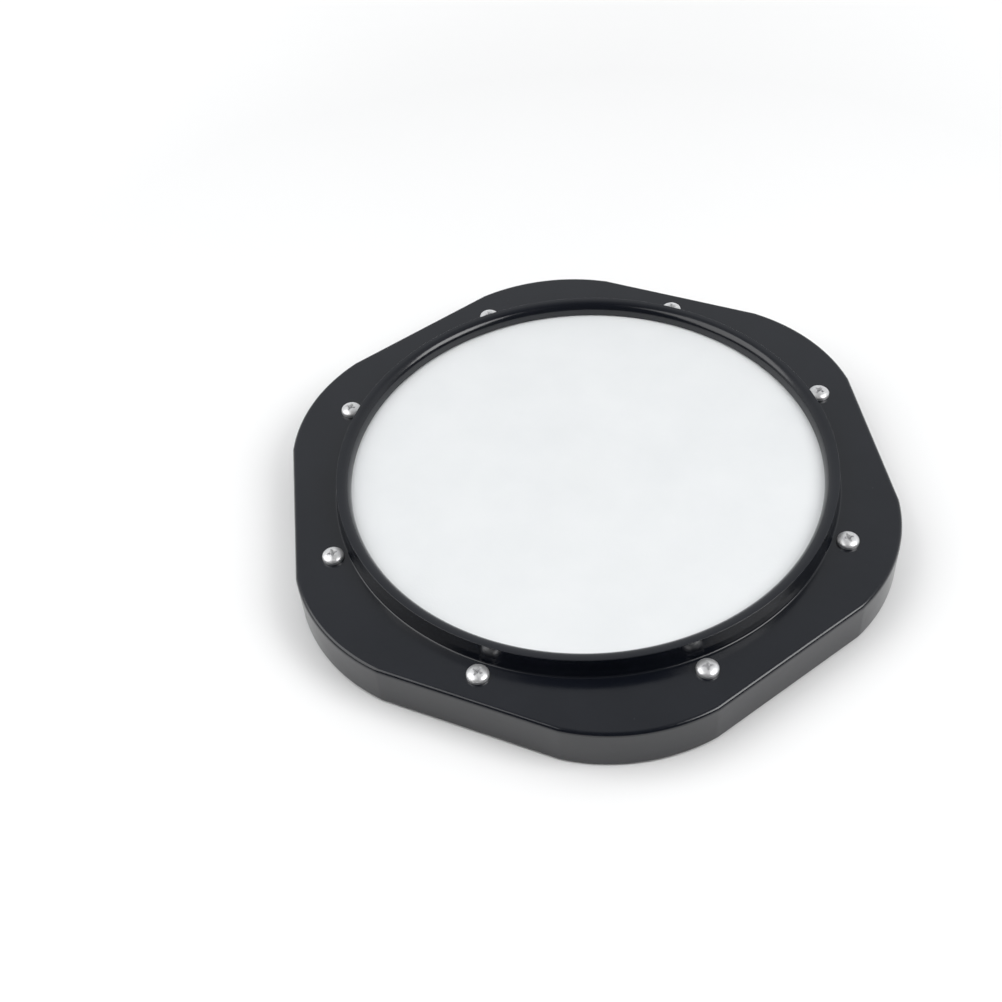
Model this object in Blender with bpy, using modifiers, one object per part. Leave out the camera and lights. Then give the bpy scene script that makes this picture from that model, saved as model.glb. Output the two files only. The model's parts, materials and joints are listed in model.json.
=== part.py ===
"""Tunable drum practice pad with a six-lobed plastic frame, 10 inch class.

A lobed cover with a raised ring is pulled down on the drum head's hoop by eight machine
screws that run in brass inserts in the base tray. The film stretches over the tray's
bearing wall, above a foam disc. The pad stands on six rubber feet.

Frame: origin on the surface the pad stands on, below its centre. +Z is up, +X points
through a lobe, +Y through a flat. Heights below are measured from that surface.
"""

import math

import bmesh
import bpy
from mathutils import Matrix

MM = 0.001
GAP = 0.3 * MM

# Outline of the frame: six lobes joined by six flats.
LOBES = 6
FLAT_APOTHEM = 122.8 * MM
LOBE_CENTRE = 54.8 * MM
LOBE_RADIUS = 75.9 * MM
LOBE_STEPS = 8

# Screws.
SCREWS = 8
SCREW_CIRCLE = 111.0 * MM
SHANK_RADIUS = 2.4 * MM
SHANK_LENGTH = 14.6 * MM
TIP_CHAMFER = 0.6 * MM
HEAD_RADIUS = 4.4 * MM
HEAD_RIM = 1.0 * MM
HEAD_HEIGHT = 3.0 * MM
RECESS_ARM = 2.3 * MM
RECESS_WIDTH = 0.95 * MM
RECESS_DEPTH = 1.7 * MM
RECESS_TAPER = 0.55
RECESS_TURN = 37.0

# Heights.
SKIRT_BOTTOM = 1.0 * MM
FLANGE_TOP = SKIRT_BOTTOM + 19.0 * MM
FLANGE_THICKNESS = 2.6 * MM
FLANGE_UNDERSIDE = FLANGE_TOP - FLANGE_THICKNESS
RING_HEIGHT = 9.0 * MM
HEAD_SURFACE = FLANGE_TOP + 2.85 * MM
TRAY_UNDERSIDE = SKIRT_BOTTOM + 0.6 * MM
FLOOR_TOP = TRAY_UNDERSIDE + 3.0 * MM

# How far one solid runs into another that it is joined to.
EMBED = 0.2 * MM

# Cover.
WALL = 2.5 * MM
EDGE_RADIUS = 1.6 * MM
EDGE_STEPS = 3
SCREW_HOLE_RADIUS = 2.75 * MM

# Cross-section of the cover's ring. The crest runs outwards, as radius and depth below the top.
CREST = (
    (99.6 * MM, 1.8 * MM),
    (100.2 * MM, 0.7 * MM),
    (101.0 * MM, 0.3 * MM),
    (103.0 * MM, 0.0),
    (103.65 * MM, 0.25 * MM),
    (104.1 * MM, 6.3 * MM),
)
RING_FOOT = 104.7 * MM
FOOT_FILLET = 1.1 * MM
PRESS_RIB_DROP = 0.6 * MM
PRESS_RIB_INNER = 102.4 * MM
PRESS_RIB_OUTER = 104.9 * MM
CAVITY_TOP = ((102.3 * MM, 2.4 * MM), (101.5 * MM, 2.1 * MM))
LIP_INNER = 98.1 * MM
LIP_OUTER = 99.3 * MM

# Drum head.
FILM = 0.25 * MM
BEND_CENTRE = 98.3 * MM
BEND_RADIUS = 1.6 * MM
COLLAR_RADIUS = 101.95 * MM
COLLAR_SLOPE = math.radians(23.6)
COLLAR_BOTTOM = FLANGE_TOP - 6.0 * MM
HOOP_INNER = 100.7 * MM
HOOP_OUTER = 105.0 * MM
HOOP_TOP = FLANGE_UNDERSIDE - PRESS_RIB_DROP - GAP
HOOP_BOTTOM = HOOP_TOP - 4.1 * MM

# Foam.
FOAM_RADIUS = 96.6 * MM
FOAM_THICKNESS = 12.0 * MM
FOAM_TOP = HEAD_SURFACE - FILM - GAP
FOAM_BOTTOM = FOAM_TOP - FOAM_THICKNESS

# Base tray.
TRAY_CLEARANCE = 0.4 * MM
TRAY_EDGE = 0.8 * MM
BEARING_INNER = 97.2 * MM
BEARING_ROUND = BEND_RADIUS - FILM - GAP
BOSS_RADIUS = 5.5 * MM
BOSS_TOP = FLANGE_UNDERSIDE - 0.8 * MM
RIB_TOP = FOAM_BOTTOM - GAP
RIB_THICKNESS = 2.0 * MM
RIB_RINGS = (27.0 * MM, 63.0 * MM)
POCKET_INNER = 24.0 * MM
POCKET_OUTER = 90.0 * MM
POCKET_DEPTH = 1.4 * MM
SPOKE_WIDTH = 9.0 * MM

# Threaded inserts.
INSERT_RADIUS = 3.6 * MM
INSERT_BORE = SHANK_RADIUS + GAP
INSERT_LENGTH = 8.0 * MM

# Feet.
FOOT_CIRCLE = 108.0 * MM
FOOT_RADIUS = 8.0 * MM
FOOT_HEIGHT = 2.9 * MM
FOOT_CHAMFER = 0.5 * MM

# Facets round a full turn.
RING_STEPS = 64
BOSS_STEPS = 12
FOOT_STEPS = 16
SCREW_STEPS = 16
DOME_STEPS = 4
INSERT_STEPS = 12
POCKET_STEPS = 8

TURN = 2.0 * math.pi


def clear_scene():
    for obj in list(bpy.data.objects):
        bpy.data.objects.remove(obj, do_unlink=True)


def new_collection(name):
    collection = bpy.data.collections.new(name)
    bpy.context.scene.collection.children.link(collection)
    return collection


def make_material(name, colour, roughness, metallic):
    material = bpy.data.materials.new(name)
    material.use_nodes = True
    shader = material.node_tree.nodes["Principled BSDF"]
    shader.inputs["Base Color"].default_value = (*colour, 1.0)
    shader.inputs["Roughness"].default_value = roughness
    shader.inputs["Metallic"].default_value = metallic
    return material


def add_part(name, mesh, material):
    obj = bpy.data.objects.new(name, mesh)
    mesh.materials.append(material)
    PARTS.objects.link(obj)
    return obj


def add_cutter(name, mesh):
    obj = bpy.data.objects.new(name, mesh)
    CUTTERS.objects.link(obj)
    obj.hide_render = True
    obj.display_type = "WIRE"
    return obj


def polar(radius, angle):
    return radius * math.cos(angle), radius * math.sin(angle)


def around(count, radius, start=0.0):
    """Centre and angle of each of several places evenly round a circle."""
    for index in range(count):
        angle = start + TURN * index / count
        yield polar(radius, angle), angle


def arc(centre, radius, start, end, steps):
    """Points of an arc, in degrees, in whatever plane the centre is given."""
    points = []
    for index in range(steps + 1):
        angle = math.radians(start + (end - start) * index / steps)
        points.append((centre[0] + radius * math.cos(angle), centre[1] + radius * math.sin(angle)))
    return points


def lobed_outline(inset=0.0):
    """The frame's outline, or a parallel one inside it.

    Each lobe is an arc about a point on the lobe's axis, and it runs until it meets the
    flats, which are 30 degrees away on either side.
    """
    radius = LOBE_RADIUS - inset
    to_flat = FLAT_APOTHEM - inset - LOBE_CENTRE * math.cos(math.pi / LOBES)
    half = math.pi / LOBES - math.acos(to_flat / radius)
    points = []
    for (x, y), axis in around(LOBES, LOBE_CENTRE):
        sweep = math.degrees(axis - half), math.degrees(axis + half)
        points += arc((x, y), radius, *sweep, LOBE_STEPS)
    return points


def pocket_outline(axis):
    """One shallow pocket of the tray's underside, between two straight spokes."""
    points = []
    for radius, side in ((POCKET_INNER, 1.0), (POCKET_OUTER, -1.0)):
        half = math.pi / LOBES - math.asin(SPOKE_WIDTH / 2.0 / radius)
        start, end = math.degrees(axis + side * half), math.degrees(axis - side * half)
        points += arc((0.0, 0.0), radius, start, end, POCKET_STEPS)
    return points


def plate_mesh(name, outlines, low, high):
    """A flat plate between two heights, from closed outlines in the XY plane."""
    curve = bpy.data.curves.new(name, "CURVE")
    curve.dimensions = "2D"
    curve.fill_mode = "BOTH"
    curve.extrude = (high - low) / 2.0
    for outline in outlines:
        spline = curve.splines.new("POLY")
        spline.points.add(len(outline) - 1)
        for point, (x, y) in zip(spline.points, outline):
            point.co = (x, y, 0.0, 1.0)
        spline.use_cyclic_u = True
    obj = bpy.data.objects.new(name, curve)
    bpy.context.scene.collection.objects.link(obj)
    obj.location.z = (low + high) / 2.0
    bpy.context.view_layer.update()
    mesh = bpy.data.meshes.new_from_object(obj.evaluated_get(bpy.context.evaluated_depsgraph_get()))
    mesh.transform(obj.matrix_world)
    bpy.data.objects.remove(obj, do_unlink=True)
    bpy.data.curves.remove(curve)
    work = bmesh.new()
    work.from_mesh(mesh)
    bmesh.ops.remove_doubles(work, verts=work.verts, dist=0.01 * MM)
    bmesh.ops.recalc_face_normals(work, faces=work.faces)
    work.to_mesh(mesh)
    work.free()
    return mesh


def profile_mesh(name, profile, closed):
    """A turned piece's profile, as edges in the XZ plane from (radius, height) pairs."""
    mesh = bpy.data.meshes.new(name)
    edges = [(index, index + 1) for index in range(len(profile) - 1)]
    if closed:
        edges.append((len(profile) - 1, 0))
    mesh.from_pydata([(radius, 0.0, height) for radius, height in profile], edges, [])
    return mesh


def turn(obj, steps):
    """Turns the object's profile about its own Z axis."""
    screw = obj.modifiers.new("turn", "SCREW")
    screw.axis = "Z"
    screw.angle = TURN
    screw.steps = steps
    screw.render_steps = steps
    screw.use_merge_vertices = True
    screw.merge_threshold = 0.00001
    screw.use_smooth_shade = True
    return obj


def combine(target, tool, operation):
    boolean = target.modifiers.new(tool.name, "BOOLEAN")
    boolean.operation = operation
    boolean.solver = "EXACT"
    boolean.object = tool


def pegs_mesh(name, centres, radius, low, high, steps):
    """Several upright cylinders in one mesh."""
    work = bmesh.new()
    for x, y in centres:
        place = Matrix.Translation((x, y, (low + high) / 2.0))
        bmesh.ops.create_cone(
            work, cap_ends=True, segments=steps, radius1=radius, radius2=radius,
            depth=high - low, matrix=place,
        )
    mesh = bpy.data.meshes.new(name)
    work.to_mesh(mesh)
    work.free()
    return mesh


def frozen_mesh(obj):
    """The object's mesh with its modifiers applied, shaded smooth with sharp edges kept."""
    bpy.context.view_layer.update()
    mesh = bpy.data.meshes.new_from_object(obj.evaluated_get(bpy.context.evaluated_depsgraph_get()))
    bpy.data.objects.remove(obj, do_unlink=True)
    mesh.shade_smooth()
    mesh.set_sharp_from_angle(angle=math.radians(30.0))
    return mesh


def screw_places():
    return [place for place, _ in around(SCREWS, SCREW_CIRCLE)]


def ring_profile():
    """Cross-section of the cover's raised ring, its inner lip and its pressing rib.

    It runs down the outer side first. The cavity under the crest leaves room for the
    drum head's collar.
    """
    top = FLANGE_TOP + RING_HEIGHT
    crest = [(radius, top - depth) for radius, depth in CREST]
    foot = arc((RING_FOOT + FOOT_FILLET, FLANGE_TOP + FOOT_FILLET), FOOT_FILLET, 180.0, 265.0, 2)
    rib_bottom = FLANGE_UNDERSIDE - PRESS_RIB_DROP
    rib = [
        (RING_FOOT + FOOT_FILLET, FLANGE_TOP - FLANGE_THICKNESS / 2.0),
        (PRESS_RIB_OUTER, FLANGE_UNDERSIDE - EMBED),
        (PRESS_RIB_OUTER, rib_bottom),
        (PRESS_RIB_INNER, rib_bottom),
    ]
    cavity = [(radius, top - depth) for radius, depth in CAVITY_TOP]
    lip = [(radius, HEAD_SURFACE + GAP) for radius in (LIP_OUTER, LIP_INNER)]
    return crest + foot + rib + cavity + lip


def weigh_top_rim(mesh, height):
    """Gives the edges round a plate's top full bevel weight, and the others none."""
    work = bmesh.new()
    work.from_mesh(mesh)
    weight = work.edges.layers.float.new("bevel_weight_edge")
    for edge in work.edges:
        at_top = all(abs(vertex.co.z - height) < 0.1 * MM for vertex in edge.verts)
        is_rim = any(abs(face.normal.z) < 0.5 for face in edge.link_faces)
        edge[weight] = 1.0 if at_top and is_rim else 0.0
    work.to_mesh(mesh)
    work.free()


def make_cover(material):
    mesh = plate_mesh("top_cover", [lobed_outline()], SKIRT_BOTTOM, FLANGE_TOP)
    weigh_top_rim(mesh, FLANGE_TOP)
    cover = add_part("top_cover", mesh, material)
    bevel = cover.modifiers.new("rounded_edge", "BEVEL")
    bevel.limit_method = "WEIGHT"
    bevel.width = EDGE_RADIUS
    bevel.segments = EDGE_STEPS
    inside = plate_mesh("cover_inside", [lobed_outline(WALL)], -WALL, FLANGE_UNDERSIDE)
    combine(cover, add_cutter("cover_inside", inside), "DIFFERENCE")
    window_radius = RING_FOOT - 2.0 * EMBED
    window = pegs_mesh("cover_window", [(0.0, 0.0)], window_radius, 0.0, 2.0 * FLANGE_TOP, RING_STEPS)
    combine(cover, add_cutter("cover_window", window), "DIFFERENCE")
    ring = add_cutter("cover_ring", profile_mesh("cover_ring", ring_profile(), closed=True))
    combine(cover, turn(ring, RING_STEPS), "UNION")
    low = FLANGE_UNDERSIDE - WALL
    high = FLANGE_TOP + WALL
    holes = pegs_mesh("cover_screw_holes", screw_places(), SCREW_HOLE_RADIUS, low, high, BOSS_STEPS)
    combine(cover, add_cutter("cover_screw_holes", holes), "DIFFERENCE")


def collar_profile(inset):
    """One face of the film: flat, over the bend, down the collar into the hoop's channel.

    The inset is the distance below or inside the film's outer face.
    """
    radius = BEND_RADIUS - inset
    centre = (BEND_CENTRE, HEAD_SURFACE - BEND_RADIUS)
    bend = arc(centre, radius, 90.0, math.degrees(COLLAR_SLOPE), 2)
    start_radius, start_height = bend[-1]
    end_radius = COLLAR_RADIUS - inset
    fall = (end_radius - start_radius) / math.tan(COLLAR_SLOPE)
    end = (end_radius, start_height - fall)
    return [(0.0, HEAD_SURFACE - inset)] + bend + [end, (end_radius, COLLAR_BOTTOM)]


def make_drum_head(material):
    outer = collar_profile(0.0)
    inner = collar_profile(FILM)
    mesh = profile_mesh("drum_head", outer + inner[::-1], closed=False)
    turn(add_part("drum_head", mesh, material), RING_STEPS)


def make_hoop(material):
    """A U-shaped channel, open upwards, that holds the film's rim."""
    slot_outer = COLLAR_RADIUS + GAP
    slot_inner = COLLAR_RADIUS - FILM - GAP
    slot_bottom = COLLAR_BOTTOM - GAP
    profile = [
        (HOOP_OUTER, HOOP_TOP),
        (HOOP_OUTER, HOOP_BOTTOM),
        (HOOP_INNER, HOOP_BOTTOM),
        (HOOP_INNER, HOOP_TOP),
        (slot_inner, HOOP_TOP),
        (slot_inner, slot_bottom),
        (slot_outer, slot_bottom),
        (slot_outer, HOOP_TOP),
    ]
    mesh = profile_mesh("head_hoop", profile, closed=True)
    turn(add_part("head_hoop", mesh, material), RING_STEPS)


def make_foam(material):
    mesh = pegs_mesh("foam_disc", [(0.0, 0.0)], FOAM_RADIUS, FOAM_BOTTOM, FOAM_TOP, RING_STEPS)
    add_part("foam_disc", mesh, material)


def bearing_profile():
    """The wall that the film stretches over, rounded where the film bends."""
    round_centre = (BEND_CENTRE, HEAD_SURFACE - BEND_RADIUS)
    edge = arc(round_centre, BEARING_ROUND, 90.0, 0.0, 2)
    base = FLOOR_TOP - EMBED
    inner_top = (BEARING_INNER, edge[0][1])
    return [inner_top] + edge + [(edge[-1][0], base), (BEARING_INNER, base)]


def rib_ring_profile(radius):
    half = RIB_THICKNESS / 2.0
    base = FLOOR_TOP - EMBED
    return [
        (radius + half, RIB_TOP), (radius + half, base), (radius - half, base), (radius - half, RIB_TOP),
    ]


def radial_ribs_mesh():
    """Straight ribs from the inner rib ring out to the bearing wall."""
    work = bmesh.new()
    start = RIB_RINGS[0]
    end = BEARING_INNER + RIB_THICKNESS / 2.0
    low = FLOOR_TOP - EMBED
    high = RIB_TOP - EMBED
    size = Matrix.Diagonal((end - start, RIB_THICKNESS, high - low, 1.0))
    centre = Matrix.Translation(((start + end) / 2.0, 0.0, (low + high) / 2.0))
    for _, angle in around(SCREWS, 1.0, TURN / SCREWS / 2.0):
        matrix = Matrix.Rotation(angle, 4, "Z") @ centre @ size
        bmesh.ops.create_cube(work, size=1.0, matrix=matrix)
    mesh = bpy.data.meshes.new("radial_ribs")
    work.to_mesh(mesh)
    work.free()
    return mesh


def make_tray(material):
    inset = WALL + TRAY_CLEARANCE
    mesh = plate_mesh("base_tray", [lobed_outline(inset)], TRAY_UNDERSIDE, FLOOR_TOP)
    tray = add_part("base_tray", mesh, material)
    bevel = tray.modifiers.new("edge_chamfer", "BEVEL")
    bevel.limit_method = "ANGLE"
    bevel.angle_limit = math.radians(40.0)
    bevel.width = TRAY_EDGE
    bevel.segments = 1

    wall = add_cutter("bearing_wall", profile_mesh("bearing_wall", bearing_profile(), closed=True))
    combine(tray, turn(wall, RING_STEPS), "UNION")
    for index, radius in enumerate(RIB_RINGS, start=1):
        name = f"rib_ring_{index}"
        ring = add_cutter(name, profile_mesh(name, rib_ring_profile(radius), closed=True))
        combine(tray, turn(ring, RING_STEPS // 2), "UNION")
    combine(tray, add_cutter("radial_ribs", radial_ribs_mesh()), "UNION")
    bosses = pegs_mesh("bosses", screw_places(), BOSS_RADIUS, FLOOR_TOP - EMBED, BOSS_TOP, BOSS_STEPS)
    combine(tray, add_cutter("bosses", bosses), "UNION")

    seat = BOSS_TOP - INSERT_LENGTH - GAP
    socket_radius = INSERT_RADIUS + GAP
    sockets = pegs_mesh("insert_sockets", screw_places(), socket_radius, seat, BOSS_TOP + WALL, BOSS_STEPS)
    combine(tray, add_cutter("insert_sockets", sockets), "DIFFERENCE")
    tip = FLANGE_TOP - SHANK_LENGTH - GAP
    tip_wells = pegs_mesh("tip_wells", screw_places(), INSERT_BORE, tip, seat + WALL, BOSS_STEPS)
    combine(tray, add_cutter("tip_wells", tip_wells), "DIFFERENCE")

    places = [place for place, _ in around(LOBES, FOOT_CIRCLE)]
    recess_top = FOOT_HEIGHT + GAP
    recesses = pegs_mesh("foot_recesses", places, FOOT_RADIUS + GAP, 0.0, recess_top, FOOT_STEPS)
    combine(tray, add_cutter("foot_recesses", recesses), "DIFFERENCE")
    outlines = [pocket_outline(axis) for _, axis in around(LOBES, 1.0)]
    pockets = plate_mesh("underside_pockets", outlines, 0.0, TRAY_UNDERSIDE + POCKET_DEPTH)
    combine(tray, add_cutter("underside_pockets", pockets), "DIFFERENCE")


def screw_profile():
    """Pan head and plain shank, from the top of the head down. Zero is the flange's top."""
    dome = []
    rise = HEAD_HEIGHT - GAP - HEAD_RIM
    for index in range(DOME_STEPS + 1):
        angle = math.pi / 2.0 * (1.0 - index / DOME_STEPS)
        dome.append((HEAD_RADIUS * math.cos(angle), GAP + HEAD_RIM + rise * math.sin(angle)))
    dome[0] = (0.0, HEAD_HEIGHT)
    shank = [
        (HEAD_RADIUS, GAP),
        (SHANK_RADIUS, GAP),
        (SHANK_RADIUS, TIP_CHAMFER - SHANK_LENGTH),
        (SHANK_RADIUS - TIP_CHAMFER, -SHANK_LENGTH),
        (0.0, -SHANK_LENGTH),
    ]
    return dome + shank


def slot_mesh(angle):
    """A wedge, narrower at its bottom, that cuts one of the recess's two crossed slots."""
    low = HEAD_HEIGHT - RECESS_DEPTH
    high = HEAD_HEIGHT + RECESS_DEPTH
    size = Matrix.Diagonal((2.0 * RECESS_ARM, RECESS_WIDTH, high - low, 1.0))
    place = Matrix.Translation((0.0, 0.0, (low + high) / 2.0))
    work = bmesh.new()
    bmesh.ops.create_cube(work, size=1.0, matrix=place @ size)
    for vertex in work.verts:
        if vertex.co.z < HEAD_HEIGHT:
            vertex.co.x *= RECESS_TAPER
            vertex.co.y *= RECESS_TAPER
    bmesh.ops.transform(work, matrix=Matrix.Rotation(angle, 4, "Z"), verts=work.verts)
    mesh = bpy.data.meshes.new("recess_slot")
    work.to_mesh(mesh)
    work.free()
    return mesh


def make_screws(material):
    """Eight screws on one mesh, each turned about its own axis as it was left."""
    blank = bpy.data.objects.new("screw_blank", profile_mesh("screw_blank", screw_profile(), closed=False))
    CUTTERS.objects.link(blank)
    turn(blank, SCREW_STEPS)
    slots = [add_cutter(f"recess_slot_{index}", slot_mesh(TURN / 4.0 * index)) for index in range(2)]
    for slot in slots:
        combine(blank, slot, "DIFFERENCE")
    mesh = frozen_mesh(blank)
    for slot in slots:
        bpy.data.objects.remove(slot, do_unlink=True)
    mesh.materials.append(material)
    for index, ((x, y), _) in enumerate(around(SCREWS, SCREW_CIRCLE), start=1):
        screw = bpy.data.objects.new(f"tension_screw_{index}", mesh)
        PARTS.objects.link(screw)
        screw.location = (x, y, FLANGE_TOP)
        screw.rotation_euler.z = math.radians(RECESS_TURN * index)


def make_inserts(material):
    """Brass sleeves, level with the tops of the bosses. The thread isn't cut."""
    profile = [
        (INSERT_RADIUS, 0.0), (INSERT_RADIUS, -INSERT_LENGTH),
        (INSERT_BORE, -INSERT_LENGTH), (INSERT_BORE, 0.0),
    ]
    for index, ((x, y), _) in enumerate(around(SCREWS, SCREW_CIRCLE), start=1):
        name = f"threaded_insert_{index}"
        insert = add_part(name, profile_mesh(name, profile, closed=True), material)
        turn(insert, INSERT_STEPS)
        insert.location = (x, y, BOSS_TOP)


def make_feet(material):
    profile = [
        (0.0, FOOT_HEIGHT),
        (FOOT_RADIUS, FOOT_HEIGHT),
        (FOOT_RADIUS, FOOT_CHAMFER),
        (FOOT_RADIUS - FOOT_CHAMFER, 0.0),
        (0.0, 0.0),
    ]
    for index, ((x, y), _) in enumerate(around(LOBES, FOOT_CIRCLE), start=1):
        name = f"foot_{index}"
        foot = add_part(name, profile_mesh(name, profile, closed=False), material)
        turn(foot, FOOT_STEPS)
        foot.location = (x, y, 0.0)


def main():
    cover_plastic = make_material("cover_plastic", (0.018, 0.019, 0.023), 0.32, 0.0)
    tray_plastic = make_material("tray_plastic", (0.014, 0.014, 0.016), 0.5, 0.0)
    film = make_material("head_film", (0.86, 0.88, 0.90), 0.45, 0.0)
    hoop_metal = make_material("hoop_aluminium", (0.78, 0.79, 0.80), 0.35, 1.0)
    foam = make_material("foam", (0.05, 0.05, 0.055), 0.95, 0.0)
    zinc = make_material("screw_steel", (0.80, 0.80, 0.82), 0.25, 1.0)
    brass = make_material("insert_brass", (0.78, 0.60, 0.28), 0.3, 1.0)
    rubber = make_material("foot_rubber", (0.02, 0.02, 0.02), 0.85, 0.0)
    make_cover(cover_plastic)
    make_tray(tray_plastic)
    make_drum_head(film)
    make_hoop(hoop_metal)
    make_foam(foam)
    make_screws(zinc)
    make_inserts(brass)
    make_feet(rubber)


clear_scene()
PARTS = new_collection("practice_pad")
CUTTERS = new_collection("cutters")
main()
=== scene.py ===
"""The looks of a tunable drum practice pad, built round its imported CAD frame.

A black moulded cover with a raised ring holds a white drum head. Eight cross-recessed
screws pull it down on the base tray, which stands on rubber feet. Everything is in metres,
in the frame's own axes: +Z up, +X through a lobe, origin on the surface below the centre.
"""

import json
import math

import bmesh
import bpy
from mathutils import Matrix, Vector, noise


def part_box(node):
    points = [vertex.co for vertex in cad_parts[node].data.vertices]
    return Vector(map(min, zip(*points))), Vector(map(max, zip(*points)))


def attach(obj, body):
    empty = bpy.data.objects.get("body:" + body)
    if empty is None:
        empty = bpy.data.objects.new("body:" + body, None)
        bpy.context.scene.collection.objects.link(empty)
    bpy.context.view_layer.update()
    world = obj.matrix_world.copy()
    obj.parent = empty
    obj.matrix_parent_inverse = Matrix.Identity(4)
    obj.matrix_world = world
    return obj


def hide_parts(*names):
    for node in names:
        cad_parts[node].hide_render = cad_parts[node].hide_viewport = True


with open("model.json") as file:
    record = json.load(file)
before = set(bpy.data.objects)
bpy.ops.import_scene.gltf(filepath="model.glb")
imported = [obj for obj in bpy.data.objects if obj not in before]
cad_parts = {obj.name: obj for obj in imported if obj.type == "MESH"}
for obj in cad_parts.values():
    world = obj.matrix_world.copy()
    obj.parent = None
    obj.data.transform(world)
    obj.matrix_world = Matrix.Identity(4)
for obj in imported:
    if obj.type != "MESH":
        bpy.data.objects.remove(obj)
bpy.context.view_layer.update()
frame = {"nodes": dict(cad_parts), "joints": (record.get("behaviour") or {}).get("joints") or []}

MM = 0.001
TURN = 2.0 * math.pi

# Sizes that the frame gives.
HINGES = [joint for joint in frame["joints"] if joint["type"] == "hinge"]
SCREWS = len(HINGES)
SCREW_PLACES = [Vector(joint["pos_m"]) for joint in HINGES]
FLANGE_TOP = SCREW_PLACES[0].z
FOOT_NODES = sorted(name for name in frame["nodes"] if name.startswith("foot_"))
COVER_LOW, COVER_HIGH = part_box("top_cover")
TRAY_LOW, TRAY_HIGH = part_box("base_tray")
HEAD_LOW, HEAD_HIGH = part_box("drum_head")
HOOP_LOW, HOOP_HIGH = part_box("head_hoop")
FOAM_LOW, FOAM_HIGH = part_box("foam_disc")
INSERT_LOW, INSERT_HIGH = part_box("threaded_insert_1")
SCREW_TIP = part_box("tension_screw_1")[0].z

# Outline of the cover: lobes joined by flats.
LOBES = 6
FLAT_APOTHEM = COVER_HIGH.y
LOBE_RADIUS = 75.9 * MM
LOBE_CENTRE = COVER_HIGH.x - LOBE_RADIUS
ARC_STEPS = 44
FLAT_STEPS = 16

# Cover.
WALL = 2.5 * MM
FLANGE_THICKNESS = 2.6 * MM
FLANGE_UNDERSIDE = FLANGE_TOP - FLANGE_THICKNESS
EDGE_RADIUS = 1.6 * MM
SCREW_HOLE_RADIUS = 2.75 * MM
PRESS_RIB_DROP = 0.6 * MM
LIP_RADIUS = 98.1 * MM
RING_INNER_RADIUS = 102.3 * MM
RING_INNER_DROP = 3.6 * MM

# Crest of the raised ring: a bulged quarter ellipse from the lip up to the top.
CREST_RADIUS = 103.1 * MM
CREST_POWER = 0.8
CREST_STEPS = 18

# Head film, and the hoop that holds its collar.
FILM = 0.25 * MM
BEND_CENTRE = 98.3 * MM
BEND_RADIUS = 1.6 * MM
COLLAR_SLOPE = math.radians(23.6)
HOOP_INNER_RADIUS = 100.7 * MM
HOOP_CRIMPS = 48
CRIMP_DEPTH = 0.18 * MM

# Tray.
FLOOR_THICKNESS = 3.0 * MM
FLOOR_TOP = TRAY_LOW.z + FLOOR_THICKNESS
TRAY_INSET = FLAT_APOTHEM - TRAY_HIGH.y
EMBED = 0.2 * MM
RIB_RINGS = (27.0 * MM, 63.0 * MM)
BEARING_WALL_INNER = 97.0 * MM
BOSS_RADIUS = 5.5 * MM
POCKET_OUTER, POCKET_INNER = 90.0 * MM, 24.0 * MM
POCKET_DEPTH = 1.4 * MM
SPOKE_HALF_WIDTH = 4.5 * MM

# Fasteners: M5 thread, pan head.
PITCH = 0.8 * MM
HEAD_RADIUS, HEAD_HEIGHT = 4.4 * MM, 2.95 * MM
THREAD_CREST, THREAD_ROOT = 2.4 * MM, 2.0 * MM
BORE_CREST, BORE_ROOT = 2.5 * MM, 2.75 * MM
KNURL_RIDGES = 32

# Fineness of the meshes.
SUPPORT = 0.22 * MM
ROUNDING_STEP = math.radians(11.0)
WELD = 0.0005 * MM
ROUND_STEPS = 256

# Camera, from a fit to the reference view.
CAMERA_PLACE = Vector((0.1568, -0.3816, FLANGE_TOP + 0.4315))
CAMERA_AIM = Vector((-0.0259, -0.0290, FLANGE_TOP + 0.0025))
CAMERA_ROLL = math.radians(-5.43)
CAMERA_LENS = 51.03

# Studio: the direction away from the camera, the brightness on the camera's side, the far
# wall's brightness from the ground up, its tint, and the plain backdrop that the camera sees.
FAR_SIDE = math.radians(112.3)
NEAR_LEVEL = 0.05
WALL_LEVELS = ((0.0, 0.66), (0.48, 0.57), (0.73, 0.54), (1.0, 0.20))
WALL_TINT = (0.965, 0.985, 1.0)
BACKDROP = (0.93, 0.93, 0.93, 1.0)


# ---------------------------------------------------------------- shapes


def polar(radius, angle, height):
    return Vector((radius * math.cos(angle), radius * math.sin(angle), height))


def lobed_ring(inset, height):
    """Points along the cover's outline, or parallel to it at an inset."""
    radius = LOBE_RADIUS - inset
    to_flat = FLAT_APOTHEM - inset - LOBE_CENTRE * math.cos(math.pi / LOBES)
    half = math.pi / LOBES - math.acos(to_flat / radius)
    arcs = []
    for lobe in range(LOBES):
        axis = TURN * lobe / LOBES
        centre = polar(LOBE_CENTRE, axis, height)
        sweep = [axis + half * (2.0 * step / ARC_STEPS - 1.0) for step in range(ARC_STEPS + 1)]
        arcs.append([centre + polar(radius, angle, 0.0) for angle in sweep])
    points = []
    for lobe, arc in enumerate(arcs):
        end = arcs[(lobe + 1) % LOBES][0]
        points += arc
        points += [arc[-1].lerp(end, step / FLAT_STEPS) for step in range(1, FLAT_STEPS)]
    return points


OUTLINE_ANGLES = [math.atan2(point.y, point.x) for point in lobed_ring(0.0, 0.0)]


def circle_ring(radius, height):
    """Points on a circle, at the same angles as the outline's points."""
    return [polar(radius, angle, height) for angle in OUTLINE_ANGLES]


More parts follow.
